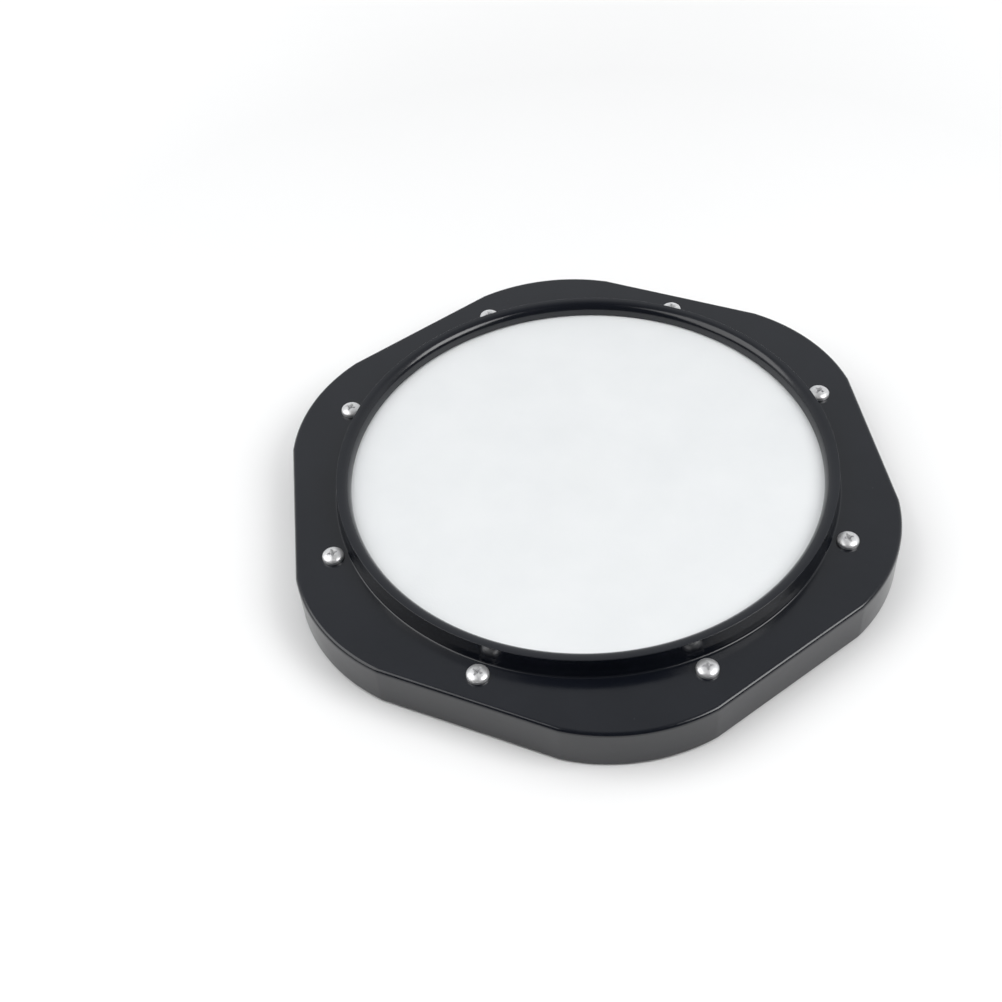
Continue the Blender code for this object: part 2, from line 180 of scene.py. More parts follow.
def rounded(corners, closed=False):
    """A profile from (radius, height, rounding) corners, as (radius, height) points."""
    count = len(corners)
    points = []
    for index, (radius, height, size) in enumerate(corners):
        here = Vector((radius, height))
        is_end = not closed and index in (0, count - 1)
        if size == 0.0 or is_end:
            points.append(here)
            continue
        back = (Vector(corners[index - 1][:2]) - here).normalized()
        ahead = (Vector(corners[(index + 1) % count][:2]) - here).normalized()
        half = back.angle(ahead) / 2.0
        centre = here + (back + ahead).normalized() * size / math.sin(half)
        start = here + back * size / math.tan(half) - centre
        end = here + ahead * size / math.tan(half) - centre
        sweep = math.atan2(start.x * end.y - start.y * end.x, start.dot(end))
        steps = max(2, round(abs(sweep) / ROUNDING_STEP))
        for step in range(steps + 1):
            points.append(centre + Matrix.Rotation(sweep * step / steps, 2) @ start)
    return points


def supported(points, closed=False):
    """Adds points near both ends of each long straight run, so that shading stays crisp."""
    result = []
    pairs = list(zip(points, points[1:]))
    if closed:
        pairs.append((points[-1], points[0]))
    for start, end in pairs:
        result.append(start)
        length = (end - start).length
        if length > 4.0 * SUPPORT:
            along = (end - start) / length * SUPPORT
            result += [start + along, end - along]
    return result if closed else result + [points[-1]]


def loft(name, rings, closed=False, capped=False):
    """A surface through rings of equally many points. Points that coincide are welded."""
    work = bmesh.new()
    rows = [[work.verts.new(point) for point in ring] for ring in rings]
    pairs = list(zip(rows, rows[1:]))
    if closed:
        pairs.append((rows[-1], rows[0]))
    for low, high in pairs:
        for index in range(len(low)):
            after = (index + 1) % len(low)
            work.faces.new((low[index], low[after], high[after], high[index]))
    if capped:
        work.faces.new(rows[0])
        work.faces.new(rows[-1])
    bmesh.ops.remove_doubles(work, verts=work.verts, dist=WELD)
    bmesh.ops.recalc_face_normals(work, faces=work.faces)
    mesh = bpy.data.meshes.new(name)
    work.to_mesh(mesh)
    work.free()
    return shaded(mesh)


def turned(name, points, steps, closed=False):
    """A round piece from (radius, height) points of its profile."""
    angles = [TURN * step / steps for step in range(steps)]
    rings = [[polar(point[0], angle, point[1]) for angle in angles] for point in points]
    return loft(name, rings, closed)


def shaded(mesh, sharp=38.0):
    mesh.shade_smooth()
    mesh.set_sharp_from_angle(angle=math.radians(sharp))
    return mesh


def joined(name, meshes_and_places):
    """One mesh from several, each moved by its matrix."""
    work = bmesh.new()
    for mesh, place in meshes_and_places:
        copy = mesh.copy()
        copy.transform(place)
        work.from_mesh(copy)
        bpy.data.meshes.remove(copy)
    mesh = bpy.data.meshes.new(name)
    work.to_mesh(mesh)
    work.free()
    return mesh


def shaped(name, mesh, tools, bevel=0.0):
    """The mesh after Boolean tools, as (operation, mesh) pairs, and a bevel on sharp edges."""
    body = bpy.data.objects.new(name, mesh)
    bpy.context.scene.collection.objects.link(body)
    helpers = []
    for operation, tool in tools:
        helper = bpy.data.objects.new("helper", tool)
        bpy.context.scene.collection.objects.link(helper)
        helpers.append(helper)
        boolean = body.modifiers.new(operation, "BOOLEAN")
        boolean.operation = operation
        boolean.solver = "EXACT"
        boolean.object = helper
    if bevel:
        edge = body.modifiers.new("edge", "BEVEL")
        edge.width = bevel
        edge.segments = 2
        edge.limit_method = "ANGLE"
        edge.angle_limit = math.radians(50.0)
    bpy.context.view_layer.update()
    evaluated = body.evaluated_get(bpy.context.evaluated_depsgraph_get())
    result = bpy.data.meshes.new_from_object(evaluated)
    for obj in helpers + [body]:
        bpy.data.objects.remove(obj)
    result.name = name
    return shaded(result)


def upright_pegs(name, places, radius, low, high, steps, rounding=0.0):
    """Upright cylinders in one mesh, with rounded tops if asked."""
    corners = [(0.0, high, 0.0), (radius, high, rounding), (radius, low, 0.0), (0.0, low, 0.0)]
    peg = turned(name, rounded(corners), steps)
    return joined(name, [(peg, Matrix.Translation((place[0], place[1], 0.0))) for place in places])


def add_piece(name, mesh, material, body, node, place=Matrix.Identity(4)):
    """A finished piece that rides on a body and stands for a CAD node."""
    piece = bpy.data.objects.new(name, mesh)
    bpy.context.scene.collection.objects.link(piece)
    piece.matrix_world = place
    mesh.materials.clear()
    mesh.materials.append(material)
    shading = piece.modifiers.new("even_shading", "WEIGHTED_NORMAL")
    shading.keep_sharp = True
    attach(piece, body)
    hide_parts(node)
    return piece


# ---------------------------------------------------------------- materials


class Finish:
    """A material's node tree. Plain values go straight on the shader's own sockets."""

    def __init__(self, name, **values):
        self.material = bpy.data.materials.new(name)
        self.material.use_nodes = True
        self.tree = self.material.node_tree
        self.shader = self.tree.nodes["Principled BSDF"]
        for socket, value in values.items():
            self.shader.inputs[socket.replace("_", " ")].default_value = value
        self.place = self.node("ShaderNodeTexCoord").outputs["Object"]
        self.normal = None

    def node(self, kind, inputs=None, **settings):
        made = self.tree.nodes.new(kind)
        for key, value in settings.items():
            setattr(made, key, value)
        for key, value in (inputs or {}).items():
            if isinstance(value, bpy.types.NodeSocket):
                self.tree.links.new(value, made.inputs[key])
            else:
                made.inputs[key].default_value = value
        return made

    def stretched(self, x, y, z, turn=0.0):
        """The object's coordinates, turned about Z and scaled unequally."""
        inputs = {"Vector": self.place, "Rotation": (0.0, 0.0, turn), "Scale": (x, y, z)}
        return self.node("ShaderNodeMapping", inputs).outputs["Vector"]

    def noise(self, size, detail=3.0, vector=None, roughness=0.55):
        """Noise from 0 to 1 whose features are about that size, in metres."""
        inputs = {
            "Vector": vector or self.place, "Scale": 1.0 / size,
            "Detail": detail, "Roughness": roughness,
        }
        return self.node("ShaderNodeTexNoise", inputs).outputs["Fac"]

    def cells(self, size, feature="F1", output="Distance", randomness=1.0):
        inputs = {"Vector": self.place, "Scale": 1.0 / size, "Randomness": randomness}
        return self.node("ShaderNodeTexVoronoi", inputs, feature=feature).outputs[output]

    def remap(self, value, low, high, to_low=0.0, to_high=1.0):
        inputs = {
            "Value": value, "From Min": low, "From Max": high, "To Min": to_low, "To Max": to_high,
        }
        return self.node("ShaderNodeMapRange", inputs).outputs["Result"]

    def calc(self, operation, first, second=0.0):
        return self.node("ShaderNodeMath", {0: first, 1: second}, operation=operation).outputs[0]

    def ramp(self, value, *stops):
        """A colour from (position, colour) stops."""
        made = self.node("ShaderNodeValToRGB", {"Fac": value})
        elements = made.color_ramp.elements
        while len(elements) < len(stops):
            elements.new(1.0)
        for element, (position, colour) in zip(elements, stops):
            element.position = position
            element.color = (*colour, 1.0)
        return made.outputs["Color"]

    def blend(self, factor, first, second):
        """Mixes two colours. The second may be a plain colour."""
        made = self.node("ShaderNodeMix", data_type="RGBA")
        self.tree.links.new(factor, made.inputs[0])
        for socket, value in ((6, first), (7, second)):
            if isinstance(value, bpy.types.NodeSocket):
                self.tree.links.new(value, made.inputs[socket])
            else:
                made.inputs[socket].default_value = (*value, 1.0)
        return made.outputs[2]

    def colour(self, socket):
        self.tree.links.new(socket, self.shader.inputs["Base Color"])

    def roughness(self, socket):
        self.tree.links.new(socket, self.shader.inputs["Roughness"])

    def bump(self, height, depth, strength=1.0):
        """Adds relief of that depth, in metres, on top of the relief added before."""
        inputs = {"Height": height, "Distance": depth, "Strength": strength}
        if self.normal:
            inputs["Normal"] = self.normal
        self.normal = self.node("ShaderNodeBump", inputs).outputs["Normal"]
        self.tree.links.new(self.normal, self.shader.inputs["Normal"])

    def specks(self, size, share, radius):
        """A mask of small round dots in a share of the cells."""
        near = self.cells(size)
        dot = self.remap(near, radius, radius * 0.6)
        pick = self.node("ShaderNodeSeparateColor", {"Color": self.cells(size, output="Color")})
        chosen = self.calc("LESS_THAN", pick.outputs[0], share)
        return self.calc("MULTIPLY", dot, chosen)

    def scratches(self, turn, fineness, share):
        """A mask of fine straight hairlines along one direction."""
        along = self.stretched(fineness, fineness / 60.0, fineness, turn)
        line = self.node("ShaderNodeTexNoise", {"Vector": along, "Scale": 1.0, "Detail": 2.0})
        return self.remap(line.outputs["Fac"], 1.0 - share, 1.0 - share * 0.8)


def cover_plastic():
    """Gloss black moulded plastic: orange peel, faint handling hairlines and a little dust."""
    finish = Finish("cover_plastic", IOR=1.6)
    tone = finish.ramp(
        finish.noise(0.03, 4.0), (0.3, (0.0040, 0.0052, 0.0088)), (0.72, (0.0066, 0.0080, 0.0124)),
    )
    dust = finish.specks(0.0075, 0.16, 0.022)
    finish.colour(finish.blend(dust, tone, (0.075, 0.075, 0.08)))
    hair = finish.calc(
        "ADD", finish.scratches(0.6, 2600.0, 0.30), finish.scratches(-0.95, 2100.0, 0.29),
    )
    base = finish.remap(finish.noise(0.012, 5.0), 0.3, 0.7, 0.15, 0.21)
    worn = finish.calc("MULTIPLY", hair, 0.05)
    dusty = finish.calc("MULTIPLY", dust, 0.3)
    finish.roughness(finish.calc("ADD", finish.calc("ADD", base, worn), dusty))
    finish.bump(finish.noise(0.0055, 2.0), 0.000035)
    finish.bump(finish.noise(0.0009, 2.0), 0.000004)
    finish.bump(hair, 0.000002)
    return finish.material


def tray_plastic():
    """The same plastic with a fine spark-eroded texture, as on an underside."""
    finish = Finish("tray_plastic", IOR=1.5)
    tone = finish.ramp(
        finish.noise(0.02, 5.0), (0.3, (0.0120, 0.0122, 0.0140)), (0.75, (0.0200, 0.0202, 0.0225)),
    )
    dust = finish.specks(0.006, 0.2, 0.03)
    finish.colour(finish.blend(dust, tone, (0.085, 0.083, 0.08)))
    finish.roughness(finish.remap(finish.noise(0.004, 5.0), 0.25, 0.75, 0.42, 0.58))
    finish.bump(finish.noise(0.00035, 4.0), 0.00004, 0.7)
    finish.bump(finish.noise(0.008, 2.0), 0.00004)
    return finish.material


def head_film():
    """White coated film: a fine sprayed stipple with a barely uneven tone."""
    finish = Finish("head_film", IOR=1.49)
    tone = finish.ramp(
        finish.noise(0.025, 5.0), (0.28, (0.755, 0.772, 0.782)), (0.72, (0.788, 0.803, 0.812)),
    )
    grain = finish.noise(0.0007, 4.0)
    fleck = finish.remap(finish.noise(0.0011, 3.0), 0.62, 0.72, 0.0, 0.10)
    finish.colour(finish.blend(fleck, tone, (0.70, 0.72, 0.745)))
    finish.roughness(finish.remap(grain, 0.25, 0.75, 0.42, 0.60))
    finish.bump(grain, 0.00005, 0.8)
    finish.bump(finish.noise(0.018, 2.0), 0.00005)
    return finish.material


def screw_zinc():
    """Bright zinc plating, slightly cloudy, with painted shade darkening the cross recess."""
    finish = Finish("screw_zinc", Metallic=0.8)
    cloud = finish.noise(0.0016, 4.0)
    tone = finish.ramp(cloud, (0.28, (0.86, 0.86, 0.87)), (0.7, (0.96, 0.96, 0.96)))
    height = finish.node("ShaderNodeSeparateXYZ", {"Vector": finish.place}).outputs["Z"]
    flat = finish.stretched(1.0, 1.0, 0.0)
    reach = finish.node("ShaderNodeVectorMath", {0: flat}, operation="LENGTH").outputs["Value"]
    # Painted shade: the colour darkens low down near the axis, in the cross recess; the hidden
    # shank falls in the same mask.
    low = finish.remap(height, 2.4 * MM, 1.6 * MM)
    central = finish.remap(reach, 2.7 * MM, 2.3 * MM)
    deep = finish.calc("MULTIPLY", low, central)
    finish.colour(finish.blend(deep, tone, (0.72, 0.72, 0.73)))
    uneven = finish.remap(finish.noise(0.0007, 4.0), 0.25, 0.75, 0.30, 0.46)
    finish.roughness(uneven)
    finish.bump(finish.noise(0.0005, 3.0), 0.000012)
    finish.bump(finish.noise(0.0022, 2.0), 0.00003)
    return finish.material


def hoop_aluminium():
    """Rolled aluminium with fine lines round the hoop and a dull oxide cloud."""
    finish = Finish("hoop_aluminium", Metallic=1.0)
    axes = finish.node("ShaderNodeSeparateXYZ", {"Vector": finish.place})
    flat = finish.stretched(1.0, 1.0, 0.0)
    reach = finish.node("ShaderNodeVectorMath", {0: flat}, operation="LENGTH").outputs["Value"]
    unrolled = finish.node("ShaderNodeCombineXYZ", {"X": reach, "Y": axes.outputs["Z"]})
    lines = finish.noise(0.00025, 2.0, unrolled.outputs["Vector"])
    cloud = finish.noise(0.006, 4.0)
    finish.colour(finish.ramp(cloud, (0.3, (0.66, 0.67, 0.68)), (0.7, (0.80, 0.81, 0.82))))
    finish.roughness(finish.remap(lines, 0.3, 0.7, 0.26, 0.42))
    finish.bump(lines, 0.00001)
    return finish.material


def foam():
    """Charcoal closed-cell foam: fine pores over larger ones."""
    finish = Finish("foam", IOR=1.4)
    pores = finish.cells(0.0011)
    small = finish.cells(0.0005)
    # Painted shade: the colour darkens towards the middle of each larger pore, where the bump sinks
    # into a hollow.
    finish.colour(finish.ramp(pores, (0.05, (0.018, 0.018, 0.020)), (0.45, (0.075, 0.075, 0.080))))
    finish.roughness(finish.remap(finish.noise(0.003, 3.0), 0.3, 0.7, 0.85, 0.97))
    finish.bump(pores, 0.00025, 0.8)
    finish.bump(small, 0.0001, 0.6)
    return finish.material


def insert_brass():
    """Machined brass with turning lines and a slight tarnish."""
    finish = Finish("insert_brass", Metallic=1.0)
    lines = finish.noise(0.0002, 2.0, finish.stretched(0.02, 0.02, 1.0))
    tarnish = finish.noise(0.0022, 4.0)
    finish.colour(finish.ramp(tarnish, (0.3, (0.55, 0.38, 0.16)), (0.7, (0.80, 0.60, 0.28))))
    finish.roughness(finish.remap(lines, 0.3, 0.7, 0.22, 0.36))
    finish.bump(lines, 0.000015)
    return finish.material


def foot_rubber():
    """Matt black rubber with a fine grain and a trace of dust."""
    finish = Finish("foot_rubber", IOR=1.52)
    grain = finish.noise(0.0004, 4.0)
    bloom = finish.noise(0.005, 4.0)
    finish.colour(finish.ramp(bloom, (0.3, (0.020, 0.020, 0.020)), (0.75, (0.046, 0.045, 0.044))))
    finish.roughness(finish.remap(grain, 0.25, 0.75, 0.72, 0.92))
    finish.bump(grain, 0.00004, 0.8)
    return finish.material


# ---------------------------------------------------------------- pieces


def cover_sections():
    """The cover's cross-section: round along the ring, lobed along the skirt."""
    lip = HEAD_HIGH.z + 0.3 * MM
    top = COVER_HIGH.z
    under = rounded([
        (RING_INNER_RADIUS, top - RING_INNER_DROP, 0.0),
        (102.15 * MM, top - 2.1 * MM, 0.5 * MM),
        (101.3 * MM, top - 1.9 * MM, 0.45 * MM),
        (99.35 * MM, lip, 0.25 * MM),
        (98.4 * MM, lip, 0.0),
    ])
    crest = []
    across, up = CREST_RADIUS - LIP_RADIUS, top - lip
    for step in range(1, CREST_STEPS + 1):
        angle = math.pi / 2.0 * step / CREST_STEPS
        inward = across * max(0.0, math.cos(angle)) ** CREST_POWER
        crest.append(Vector((CREST_RADIUS - inward, lip + up * math.sin(angle) ** CREST_POWER)))
    outside = rounded([
        (103.3 * MM, top, 0.0),
        (103.65 * MM, top, 0.18 * MM),
        (104.05 * MM, FLANGE_TOP + 3.2 * MM, 2.0 * MM),
        (104.8 * MM, FLANGE_TOP, 0.8 * MM),
        (107.2 * MM, FLANGE_TOP, 0.0),
    ])[1:]
    ring = under + [Vector((LIP_RADIUS, lip + 0.25 * MM))] + crest[1:] + outside
    edge = rounded([
        (EDGE_RADIUS + 1.2 * MM, FLANGE_TOP, 0.0),
        (0.0, FLANGE_TOP, EDGE_RADIUS),
        (0.0, COVER_LOW.z, 0.4 * MM),
        (WALL, COVER_LOW.z, 0.3 * MM),
        (WALL, FLANGE_UNDERSIDE, 1.0 * MM),
        (WALL + 4.0 * MM, FLANGE_UNDERSIDE, 0.0),
    ])
    rib_low = FLANGE_UNDERSIDE - PRESS_RIB_DROP
    rib = rounded([
        (107.0 * MM, FLANGE_UNDERSIDE, 0.0),
        (105.1 * MM, FLANGE_UNDERSIDE, 0.3 * MM),
        (104.9 * MM, rib_low, 0.2 * MM),
        (102.4 * MM, rib_low, 0.2 * MM),
        (RING_INNER_RADIUS, top - RING_INNER_DROP, 0.0),
    ])[:-1]
    sections = [circle_ring(*point) for point in supported(ring)]
    sections += [lobed_ring(*point) for point in supported(edge)]
    sections += [circle_ring(*point) for point in supported(rib)]
    return sections


def make_cover(material):
    blank = loft("top_cover", cover_sections(), closed=True)
    low = FLANGE_UNDERSIDE - WALL
    high = FLANGE_TOP + WALL
    holes = upright_pegs("holes", SCREW_PLACES, SCREW_HOLE_RADIUS, low, high, 48)
    mesh = shaped("cover_shell", blank, [("DIFFERENCE", holes)])
    add_piece("cover_shell", mesh, material, "cover", "top_cover")


def film_face(inset):
    """One face of the film, from the centre over the bend and down the collar."""
    top = HEAD_HIGH.z
    steps = 8
    points = [Vector((radius * MM, top - inset)) for radius in (0.0, 4.0, 30.0, 60.0, 90.0, 97.5)]
    sweep = math.pi / 2.0 - COLLAR_SLOPE
    for step in range(steps + 1):
        angle = math.pi / 2.0 - sweep * step / steps
        radius = BEND_RADIUS - inset
        points.append(Vector((
            BEND_CENTRE + radius * math.cos(angle), top - BEND_RADIUS + radius * math.sin(angle),
        )))
    end = HEAD_HIGH.x - inset
    fall = (end - points[-1].x) / math.tan(COLLAR_SLOPE)
    points.append(Vector((end, points[-1].y - fall)))
    points.append(Vector((end, HEAD_LOW.z)))
    return points


def make_head(material):
    profile = film_face(0.0) + film_face(FILM)[::-1]
    mesh = turned("head_film", profile, ROUND_STEPS)
    add_piece("head_film", mesh, material, "base", "drum_head")


def make_hoop(material):
    """A rolled channel, crimped on to the film at regular places round its outer wall."""
    gap = 0.12 * MM
    outer, inner = HOOP_HIGH.x, HOOP_INNER_RADIUS
    slot_outer, slot_inner = HEAD_HIGH.x + gap, HEAD_HIGH.x - FILM - gap
    slot_floor = HEAD_LOW.z - gap
    top, low = HOOP_HIGH.z, HOOP_LOW.z
    soft = 0.3 * MM
    corners = [
        (outer, top, soft), (outer, low, 2.0 * soft), (inner, low, 2.0 * soft), (inner, top, soft),
        (slot_inner, top, soft), (slot_inner, slot_floor, 0.0),
        (slot_outer, slot_floor, 0.0), (slot_outer, top, soft),
    ]
    points = supported(rounded(corners, closed=True), closed=True)
    steps = 8 * HOOP_CRIMPS
    middle = (top + low) / 2.0
    rings = []
    for radius, height in points:
        ring = []
        for step in range(steps):
            angle = TURN * step / steps
            dent = max(0.0, math.cos(HOOP_CRIMPS * angle)) ** 2 * CRIMP_DEPTH
            on_wall = radius > slot_outer + 1.0 * MM and abs(height - middle) < 1.4 * MM
            ring.append(polar(radius - (dent if on_wall else 0.0), angle, height))
        rings.append(ring)
    mesh = loft("hoop_channel", rings, closed=True)
    add_piece("hoop_channel", mesh, material, "base", "head_hoop")


def make_foam(material):
    """The foam disc, with cut faces that are very slightly uneven."""
    radius, low, high = FOAM_HIGH.x, FOAM_LOW.z, FOAM_HIGH.z
    corners = [(0.0, high, 0.0), (radius, high, 0.9 * MM), (radius, low, 0.9 * MM), (0.0, low, 0.0)]
    side = supported(rounded(corners))
    rows = 14
    reaches = [radius * row / rows for row in range(rows)]
    top_face = [Vector((reach, high)) for reach in reaches]
    low_face = [Vector((reach, low)) for reach in reaches]
    profile = top_face + side[2:-2] + low_face[::-1]
    mesh = turned("foam_pad", profile, 192)
    for vertex in mesh.vertices:
        inward = 0.10 * MM * (1.0 + noise.noise(vertex.co * 160.0))
        vertex.co -= vertex.normal * inward
    piece = add_piece("foam_pad", mesh, material, "base", "foam_disc")


def bend(reach, angle, radius, start, sweep, height):
    """A rounded corner whose centre is given by its distance and angle from the axis."""
    centre = polar(reach, angle, height)
    steps = 6
    return [centre + polar(radius, start + sweep * step / steps, 0.0) for step in range(steps + 1)]


def pocket_ring(axis, inset, height):
    """The outline of one underside pocket between two spokes, with rounded corners."""
    outer, inner = POCKET_OUTER - inset, POCKET_INNER + inset
    side = SPOKE_HALF_WIDTH + inset
    corner = 4.0 * MM - inset
    far, near = outer - corner, inner + corner
    lean_far = math.asin((side + corner) / far)
    lean_near = math.asin((side + corner) / near)
    start, end = axis - math.pi / LOBES, axis + math.pi / LOBES
    square = TURN / 4.0
    points = bend(far, start + lean_far, corner, start - square, square + lean_far, height)
    run = end - start - 2.0 * lean_far
    points += [polar(outer, start + lean_far + run * step / 30.0, height) for step in range(1, 30)]
    points += bend(far, end - lean_far, corner, end - lean_far, square + lean_far, height)
    points += bend(near, end - lean_near, corner, end + square, square - lean_near, height)
    run = end - start - 2.0 * lean_near
    points += [polar(inner, end - lean_near - run * step / 10.0, height) for step in range(1, 10)]
    first = start + lean_near
    points += bend(near, first, corner, first + math.pi, square - lean_near, height)
    return points


def recess_profile(low, depth, rim, foot):
    """How far in a moulded recess's wall stands, with height, from outside the surface up."""
    steps = 5
    points = [(-rim - 0.1 * MM, low - 1.0 * MM), (-rim - 0.1 * MM, low - 0.05 * MM)]
    for step in range(steps + 1):
        angle = math.radians(78.0) * (1.0 - step / steps)
        points.append((rim * (math.cos(angle) - 1.0), low + rim * (1.0 - math.sin(angle))))
    for step in range(steps + 1):
        angle = math.pi / 2.0 * step / steps
        inward, down = foot * (1.0 - math.cos(angle)), foot * (1.0 - math.sin(angle))
        points.append((inward, low + depth - down))
    return points


def tray_plate():
    """The tray's floor, with rounded edges."""
    low = TRAY_LOW.z
    edge = rounded([
        (TRAY_INSET + 2.5 * MM, low, 0.0),
        (TRAY_INSET, low, 0.9 * MM),
        (TRAY_INSET, FLOOR_TOP, 0.4 * MM),
        (TRAY_INSET + 2.5 * MM, FLOOR_TOP, 0.0),
    ])
    return loft("tray_plate", [lobed_ring(*point) for point in supported(edge)], capped=True)


def tray_risers():
    """What stands on the tray's floor: bearing wall, rib rings, radial ribs and screw bosses."""
    base = FLOOR_TOP - EMBED
    rib_top = FOAM_LOW.z - 0.2 * MM
    outer, inner = BEND_CENTRE + BEND_RADIUS - FILM - 0.15 * MM, BEARING_WALL_INNER
    wall = supported(rounded([
        (inner, TRAY_HIGH.z, 0.25 * MM), (outer, TRAY_HIGH.z, 1.2 * MM),
        (outer, base, 0.0), (inner, base, 0.0),
    ], closed=True), closed=True)
    risers = [("UNION", turned("bearing_wall", wall, ROUND_STEPS, closed=True))]
    for radius in RIB_RINGS:
        rib = rounded([
            (radius + 1.0 * MM, rib_top, 0.3 * MM), (radius + 1.1 * MM, base, 0.0),
            (radius - 1.1 * MM, base, 0.0), (radius - 1.0 * MM, rib_top, 0.3 * MM),
        ], closed=True)
        risers.append(("UNION", turned("rib_ring", rib, 128, closed=True)))
    start, end = RIB_RINGS[0], inner + 1.0 * MM
    size = Matrix.Diagonal((end - start, 2.0 * MM, rib_top - EMBED - base, 1.0))
    centre = Matrix.Translation(((start + end) / 2.0, 0.0, (rib_top - EMBED + base) / 2.0))
    work = bmesh.new()
    for index in range(SCREWS):
        turn = Matrix.Rotation(TURN * (index + 0.5) / SCREWS, 4, "Z")
        bmesh.ops.create_cube(work, size=1.0, matrix=turn @ centre @ size)
    ribs = bpy.data.meshes.new("radial_ribs")
    work.to_mesh(ribs)
    work.free()
    risers.append(("UNION", ribs))
    bosses = upright_pegs("bosses", SCREW_PLACES, BOSS_RADIUS, base, INSERT_HIGH.z, 48, 0.3 * MM)
    risers.append(("UNION", bosses))
    return risers


def tray_cuts():
    """What is cut from the tray: insert sockets, screw wells, foot seats and underside pockets."""
    low = TRAY_LOW.z
    radius = (INSERT_HIGH.x - INSERT_LOW.x) / 2.0 + 0.05 * MM
    top = INSERT_HIGH.z + WALL
    sockets = upright_pegs("sockets", SCREW_PLACES, radius, INSERT_LOW.z, top, 48)
    well_floor = SCREW_TIP - 0.3 * MM
    wells = upright_pegs("wells", SCREW_PLACES, 2.7 * MM, well_floor, INSERT_LOW.z + WALL, 48)
    seat_radius = foot_radius() + 0.15 * MM
    seat = [
        (seat_radius - inset, height)
        for inset, height in recess_profile(low, foot_top() + 0.1 * MM - low, 0.3 * MM, 0.2 * MM)
    ]
    seat = [(0.0, seat[0][1])] + seat + [(0.0, seat[-1][1])]
    seat_mesh = turned("foot_seat", seat, 64)
    spots = [Matrix.Translation((*place, 0.0)) for place in foot_places()]
    seats = joined("foot_seats", [(seat_mesh, spot) for spot in spots])
    cuts = [("DIFFERENCE", sockets), ("DIFFERENCE", wells), ("DIFFERENCE", seats)]
    rings = recess_profile(low, POCKET_DEPTH, 0.4 * MM, 0.6 * MM)
    pockets = []
    for lobe in range(LOBES):
        axis = TURN * lobe / LOBES
        pocket = loft("pocket", [pocket_ring(axis, *ring) for ring in rings], capped=True)
        pockets.append((pocket, Matrix.Identity(4)))
    cuts.append(("DIFFERENCE", joined("pockets", pockets)))
    return cuts


def make_tray(material):
    mesh = shaped("tray_shell", tray_plate(), tray_risers() + tray_cuts())
    add_piece("tray_shell", mesh, material, "base", "base_tray")


def thread_radius(crest, root, angle, height):
    """Radius of a right-handed V thread with flattened crests and roots."""
    phase = (height / PITCH - angle / TURN) % 1.0
    flat = 0.12
    share = (abs(2.0 * phase - 1.0) - flat) / (1.0 - 2.0 * flat)
    share = min(1.0, max(0.0, share))
    return crest + (root - crest) * share


def threaded_rings(crest, root, low, high, steps, per_turn, taper):
    """Rings up a threaded stretch. The thread fades out over a taper at the low end."""
    rings = []
    core = 0.93 * root
    count = round((high - low) / PITCH * per_turn)
    for level in range(count + 1):
        height = low + (high - low) * level / count
        fade = min(1.0, (height - low) / taper) if taper else 1.0
        ring = []
        for step in range(steps):
            angle = TURN * step / steps
            radius = thread_radius(crest, root, angle, height)
            ring.append(polar(core + (radius - core) * fade, angle, height))
        rings.append(ring)
    return rings


def cross_wing(length, width, deep, high):
    """A tapered blade that cuts one slot of the cross recess."""
    work = bmesh.new()
    bmesh.ops.create_cube(work, size=1.0)
    for vertex in work.verts:
        is_low = vertex.co.z < 0.0
        vertex.co.x *= length * (0.5 if is_low else 1.12)
        vertex.co.y *= width * (0.66 if is_low else 1.08)
        vertex.co.z = deep if is_low else high
    mesh = bpy.data.meshes.new("wing")
    work.to_mesh(mesh)
    work.free()
    return mesh


def screw_mesh():
    """An M5 pan head screw, from its head's underside at height zero."""
    steps = 48
    dome_steps = 14
    tip = SCREW_TIP - FLANGE_TOP
    under = 0.04 * MM
    rim = 1.0 * MM
    dome = []
    for step in range(dome_steps + 1):
        angle = math.pi / 2.0 * step / dome_steps
        height = rim + (HEAD_HEIGHT - rim) * math.cos(angle)
        dome.append((HEAD_RADIUS * math.sin(angle), height))
    dome[0] = (0.0, HEAD_HEIGHT)
    side = rounded([
        dome[-1] + (0.0,),
        (HEAD_RADIUS, under, 0.18 * MM),
        (THREAD_CREST, under, 0.15 * MM),
        (THREAD_CREST, -1.0 * MM, 0.0),
    ])
    profile = dome + side[1:]
    angles = [TURN * step / steps for step in range(steps)]
    rings = [[polar(point[0], angle, point[1]) for angle in angles] for point in profile]
    low, high = tip + 0.15 * MM, -1.25 * MM
    thread = threaded_rings(THREAD_CREST, THREAD_ROOT, low, high, steps, 6, 1.2 * MM)
    rings += thread[::-1]
    rings += [[polar(radius, angle, tip) for angle in angles] for radius in (1.5 * MM, 0.0)]
    blank = loft("screw", rings)
    above = HEAD_HEIGHT + 0.5 * MM
    wing = cross_wing(4.6 * MM, 0.95 * MM, HEAD_HEIGHT - 1.75 * MM, above)
    crossed = wing.copy()
    crossed.transform(Matrix.Rotation(TURN / 4.0, 4, "Z"))
    bottom = HEAD_HEIGHT - 2.0 * MM
    cone_profile = [(0.0, above), (1.45 * MM, above), (0.35 * MM, bottom), (0.0, bottom)]
    cone = turned("cone", cone_profile, 24)
    cuts = [("DIFFERENCE", wing), ("DIFFERENCE", crossed), ("DIFFERENCE", cone)]
    return shaped("pan_head_screw", blank, cuts, bevel=0.06 * MM)


def make_screws(material):
    """One screw for each hinge, left at a slightly different turn."""
    mesh = screw_mesh()
    for index, (joint, place) in enumerate(zip(HINGES, SCREW_PLACES), start=1):
        name = f"pan_head_screw_{index}"
        node = f"tension_screw_{index}"
        left_at = Matrix.Rotation(math.radians(37.0 * index), 4, "Z")
        spot = Matrix.Translation(place) @ left_at
        add_piece(name, mesh, material, joint["child"], node, spot)


